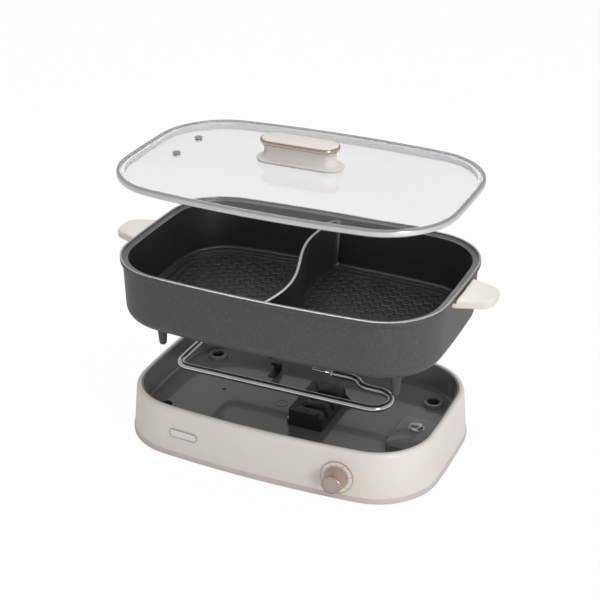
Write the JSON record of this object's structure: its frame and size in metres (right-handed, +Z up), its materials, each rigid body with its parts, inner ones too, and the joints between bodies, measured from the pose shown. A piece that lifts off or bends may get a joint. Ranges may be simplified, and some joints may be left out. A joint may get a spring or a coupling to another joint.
{
  "type": "split electric hot pot",
  "caption": "Electric hot pot with a heated oval base, a plug-in tube heater, a two-compartment lift-off pot and a glass lid.",
  "frame": {"origin": "on the table plane, under the middle of the base housing's outline", "axes": "+X along the long side towards the dial end's right, -Y out of the dial side, +Z up"},
  "size_m": [0.46, 0.266, 0.364],
  "materials": {
    "cream": "satin cream moulding",
    "rose_gold": "satin rose metal finish",
    "taupe": "fine brushed",
    "dial_white": "gloss",
    "black": "satin black",
    "black_matte": "fine grain",
    "plate_grey": "fine grain",
    "rubber": "matte",
    "silicone": "matte translucent look",
    "chrome": "polished",
    "steel": "fine brushed",
    "brass": "plain",
    "ceramic": "plain",
    "pot_grey": "speckled non-stick coating",
    "glass": "clear"
  },
  "bodies": {
    "base": {"base_shell": "cream", "base_trim_band": "rose_gold", "bottom_plate": "plate_grey", "rubber_feet": "rubber", "bottom_screws": "steel", "inner_tray": "black", "socket_cups": "rubber", "sensor_collar": "chrome", "sensor_guide": "black_matte", "sensor_spring": "steel", "terminal_block": "black_matte", "terminal_contacts": "brass", "block_screws": "steel", "heater_rest": "steel", "dial_ring": "dial_white", "dial_trim": "rose_gold", "control_unit": "black_matte", "control_nut": "steel", "name_plate": "dial_white", "name_plate_rim": "rose_gold", "power_inlet": "black_matte", "inlet_pins": "brass"},
    "pot": {"pot_body": "pot_grey", "pot_feet": "pot_grey", "pot_handle_left": "cream", "pot_handle_right": "cream", "handle_screws": "steel"},
    "lid": {"lid_glass": "glass", "lid_rim": "steel", "lid_seal": "silicone", "vent_grommets": "steel", "lid_handle_gasket": "silicone", "lid_handle": "cream", "lid_handle_trim": "rose_gold", "lid_handle_cap": "cream", "lid_handle_screws": "steel"},
    "heater": {"heater_tube": "chrome", "heater_pins": "steel", "heater_seals": "ceramic"},
    "dial": {"dial_knob": "rose_gold", "dial_cap": "taupe", "dial_shaft": "steel"},
    "sensor": {"sensor_button": "chrome"}
  },
  "joints": [
    {"name": "pot_lift", "type": "slide", "parent": "base", "child": "pot", "axis": [0, 0, 1], "range_m": [-0.0917, 0]},
    {"name": "lid_lift", "type": "slide", "parent": "pot", "child": "lid", "axis": [0, 0, 1], "range_m": [-0.0929, 0]},
    {"name": "heater_lift", "type": "slide", "parent": "base", "child": "heater", "axis": [0, 0, 1], "range_m": [-0.0435, 0]},
    {"name": "dial_turn", "type": "hinge", "parent": "base", "child": "dial", "pos_m": [0.097, -0.118, 0.029], "axis": [0.0723, -0.9936, 0.087], "range_deg": [-270, 0]},
    {"name": "sensor_press", "type": "slide", "parent": "base", "child": "sensor", "axis": [0, 0, 1], "range_m": [-0.003, 0], "stiffness_N_per_m": 400, "springref_m": 0.0015, "deforming": ["sensor_spring"]}
  ],
  "couplings": [
    {"joint": "heater_lift", "follows": "pot_lift", "ratio": 0.4743}
  ]
}
